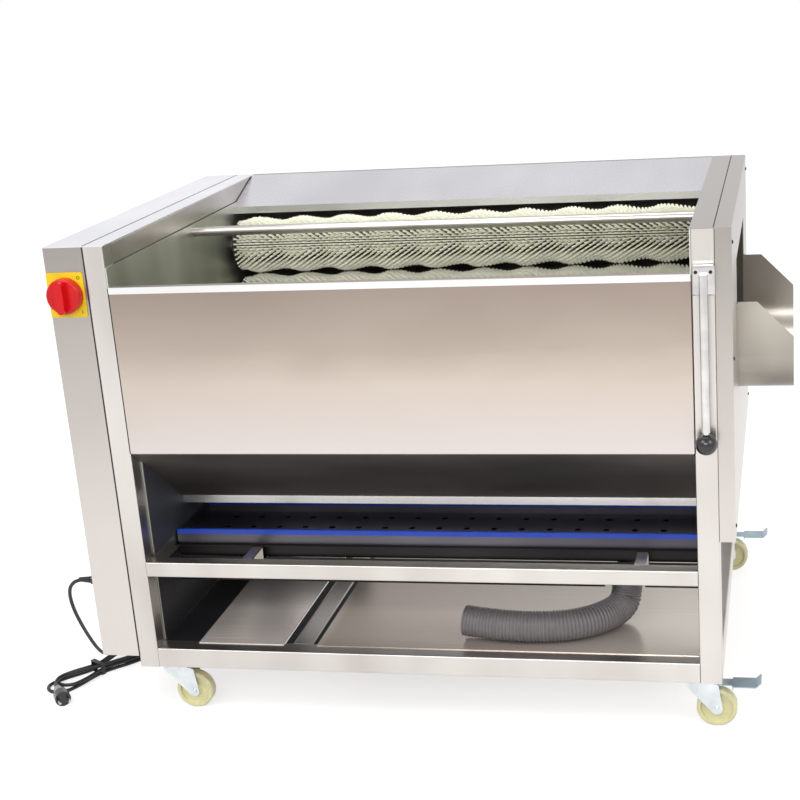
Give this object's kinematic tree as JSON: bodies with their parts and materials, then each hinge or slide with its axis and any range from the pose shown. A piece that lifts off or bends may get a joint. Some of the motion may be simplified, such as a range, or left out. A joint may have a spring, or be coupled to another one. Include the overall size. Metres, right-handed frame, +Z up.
{
  "type": "brush roller potato peeling machine",
  "caption": "Floor-standing stainless washer-peeler with brush rollers in a U trough, side chute with gate, filter tray, rotary switch and casters.",
  "frame": {"origin": "on the floor under the centre of the machine's bounding box, lead and drain hose left out", "axes": "+X along the rollers to the discharge end, +Y to the back, +Z up"},
  "size_m": [1.5335, 0.8925, 0.949],
  "materials": {
    "stainless_sheet": "satin",
    "stainless_tube": "satin",
    "bristle_nylon": "matte",
    "shaft_steel": "satin",
    "cast_housing": "satin",
    "chain_steel": "oiled",
    "motor_paint": "satin",
    "lever_chrome": "polished",
    "black_plastic": "gloss",
    "hose_plastic": "satin",
    "yellow_plastic": "satin",
    "red_plastic": "gloss",
    "zinc_plate": "bright",
    "wheel_nylon": "satin",
    "cord_rubber": "satin"
  },
  "bodies": {
    "chassis": {"frame": "stainless_tube", "drive_housing": "stainless_sheet", "drive_cover": "stainless_sheet", "left_wall": "stainless_sheet", "right_wall": "stainless_sheet", "front_panel": "stainless_sheet", "rear_panel": "stainless_sheet", "rear_guide": "stainless_sheet", "front_guide": "stainless_sheet", "deflectors": "stainless_sheet", "end_cover": "stainless_sheet", "discharge_chute": "stainless_sheet", "spray_pipe": "stainless_sheet", "spray_bracket": "stainless_sheet", "drain_pan": "stainless_sheet", "pan_supports": "stainless_sheet", "floor_plates": "stainless_sheet", "left_bearings": "cast_housing", "right_bearings": "cast_housing", "roller_chain": "chain_steel", "drive_chain": "chain_steel", "gearmotor": "motor_paint", "motor_stand": "motor_paint", "drain_hose": "hose_plastic", "switch_plate": "yellow_plastic", "switch_body": "black_plastic", "caster_plates": "zinc_plate", "cable_gland": "black_plastic", "power_cord": "cord_rubber", "cord_hank": "cord_rubber", "plug": "black_plastic"},
    "roller_1": {"brush_1": "bristle_nylon", "roller_shaft_1": "shaft_steel"},
    "roller_2": {"brush_2": "bristle_nylon", "roller_shaft_2": "shaft_steel"},
    "roller_3": {"brush_3": "bristle_nylon", "roller_shaft_3": "shaft_steel"},
    "roller_4": {"brush_4": "bristle_nylon", "roller_shaft_4": "shaft_steel"},
    "roller_5": {"brush_5": "bristle_nylon", "roller_shaft_5": "shaft_steel"},
    "roller_6": {"brush_6": "bristle_nylon", "roller_shaft_6": "shaft_steel"},
    "motor_output": {"motor_shaft": "shaft_steel"},
    "gate": {"gate_flap": "stainless_sheet", "gate_shaft": "shaft_steel", "gate_lever": "lever_chrome", "lever_ball": "black_plastic"},
    "switch_handle": {"switch_knob": "red_plastic"},
    "tray": {"filter_tray": "stainless_sheet"},
    "caster_1": {"caster_fork_1": "zinc_plate"},
    "wheel_1": {"caster_wheel_1": "wheel_nylon"},
    "caster_2": {"caster_fork_2": "zinc_plate"},
    "wheel_2": {"caster_wheel_2": "wheel_nylon"},
    "pedal_2": {"brake_pedal_2": "zinc_plate"},
    "caster_3": {"caster_fork_3": "zinc_plate"},
    "wheel_3": {"caster_wheel_3": "wheel_nylon"},
    "pedal_3": {"brake_pedal_3": "zinc_plate"},
    "caster_4": {"caster_fork_4": "zinc_plate"},
    "wheel_4": {"caster_wheel_4": "wheel_nylon"}
  },
  "joints": [
    {"name": "roller_1_spin", "type": "hinge", "parent": "chassis", "child": "roller_1", "pos_m": [-0.011, 0.26125, 0.818], "axis": [1, 0, 0], "continuous": true},
    {"name": "roller_2_spin", "type": "hinge", "parent": "chassis", "child": "roller_2", "pos_m": [-0.011, 0.26125, 0.691], "axis": [1, 0, 0], "continuous": true},
    {"name": "roller_3_spin", "type": "hinge", "parent": "chassis", "child": "roller_3", "pos_m": [-0.011, 0.19725, 0.571], "axis": [1, 0, 0], "continuous": true},
    {"name": "roller_4_spin", "type": "hinge", "parent": "chassis", "child": "roller_4", "pos_m": [-0.011, 0.07325, 0.516], "axis": [1, 0, 0], "continuous": true},
    {"name": "roller_5_spin", "type": "hinge", "parent": "chassis", "child": "roller_5", "pos_m": [-0.011, -0.06175, 0.514], "axis": [1, 0, 0], "continuous": true},
    {"name": "roller_6_spin", "type": "hinge", "parent": "chassis", "child": "roller_6", "pos_m": [-0.011, -0.18375, 0.574], "axis": [1, 0, 0], "continuous": true},
    {"name": "motor_spin", "type": "hinge", "parent": "chassis", "child": "motor_output", "pos_m": [-0.5365, 0.22125, 0.265], "axis": [1, 0, 0], "continuous": true},
    {"name": "gate_swing", "type": "hinge", "parent": "chassis", "child": "gate", "pos_m": [0.5375, 0.02125, 0.863], "axis": [0, -1, 0], "range_deg": [0, 65]},
    {"name": "switch_turn", "type": "hinge", "parent": "chassis", "child": "switch_handle", "pos_m": [-0.6195, -0.40375, 0.86], "axis": [0, 1, 0], "range_deg": [0, 90]},
    {"name": "tray_slide", "type": "slide", "parent": "chassis", "child": "tray", "axis": [1, 0, 0], "range_m": [0, 0.6]},
    {"name": "caster_1_swivel", "type": "hinge", "parent": "chassis", "child": "caster_1", "pos_m": [-0.5255, -0.35075, 0.1], "axis": [0, 0, 1], "continuous": true},
    {"name": "caster_1_roll", "type": "hinge", "parent": "caster_1", "child": "wheel_1", "pos_m": [-0.4905, -0.35075, 0.0375], "axis": [0, 1, 0], "continuous": true},
    {"name": "caster_2_swivel", "type": "hinge", "parent": "chassis", "child": "caster_2", "pos_m": [0.5085, -0.35075, 0.1], "axis": [0, 0, 1], "continuous": true},
    {"name": "caster_2_roll", "type": "hinge", "parent": "caster_2", "child": "wheel_2", "pos_m": [0.5435, -0.35075, 0.0375], "axis": [0, 1, 0], "continuous": true},
    {"name": "pedal_2_press", "type": "hinge", "parent": "caster_2", "child": "pedal_2", "pos_m": [0.5425, -0.35075, 0.082], "axis": [0, 1, 0], "range_deg": [0, 14]},
    {"name": "caster_3_swivel", "type": "hinge", "parent": "chassis", "child": "caster_3", "pos_m": [0.5085, 0.39325, 0.1], "axis": [0, 0, 1], "continuous": true},
    {"name": "caster_3_roll", "type": "hinge", "parent": "caster_3", "child": "wheel_3", "pos_m": [0.5435, 0.39325, 0.0375], "axis": [0, 1, 0], "continuous": true},
    {"name": "pedal_3_press", "type": "hinge", "parent": "caster_3", "child": "pedal_3", "pos_m": [0.5425, 0.39325, 0.082], "axis": [0, 1, 0], "range_deg": [0, 14]},
    {"name": "caster_4_swivel", "type": "hinge", "parent": "chassis", "child": "caster_4", "pos_m": [-0.5255, 0.39325, 0.1], "axis": [0, 0, 1], "continuous": true},
    {"name": "caster_4_roll", "type": "hinge", "parent": "caster_4", "child": "wheel_4", "pos_m": [-0.4905, 0.39325, 0.0375], "axis": [0, 1, 0], "continuous": true}
  ],
  "couplings": [
    {"joint": "roller_2_spin", "follows": "roller_1_spin", "ratio": 1},
    {"joint": "roller_3_spin", "follows": "roller_1_spin", "ratio": 1},
    {"joint": "roller_4_spin", "follows": "roller_1_spin", "ratio": 1},
    {"joint": "roller_5_spin", "follows": "roller_1_spin", "ratio": 1},
    {"joint": "roller_6_spin", "follows": "roller_1_spin", "ratio": 1},
    {"joint": "motor_spin", "follows": "roller_1_spin", "ratio": 1}
  ]
}
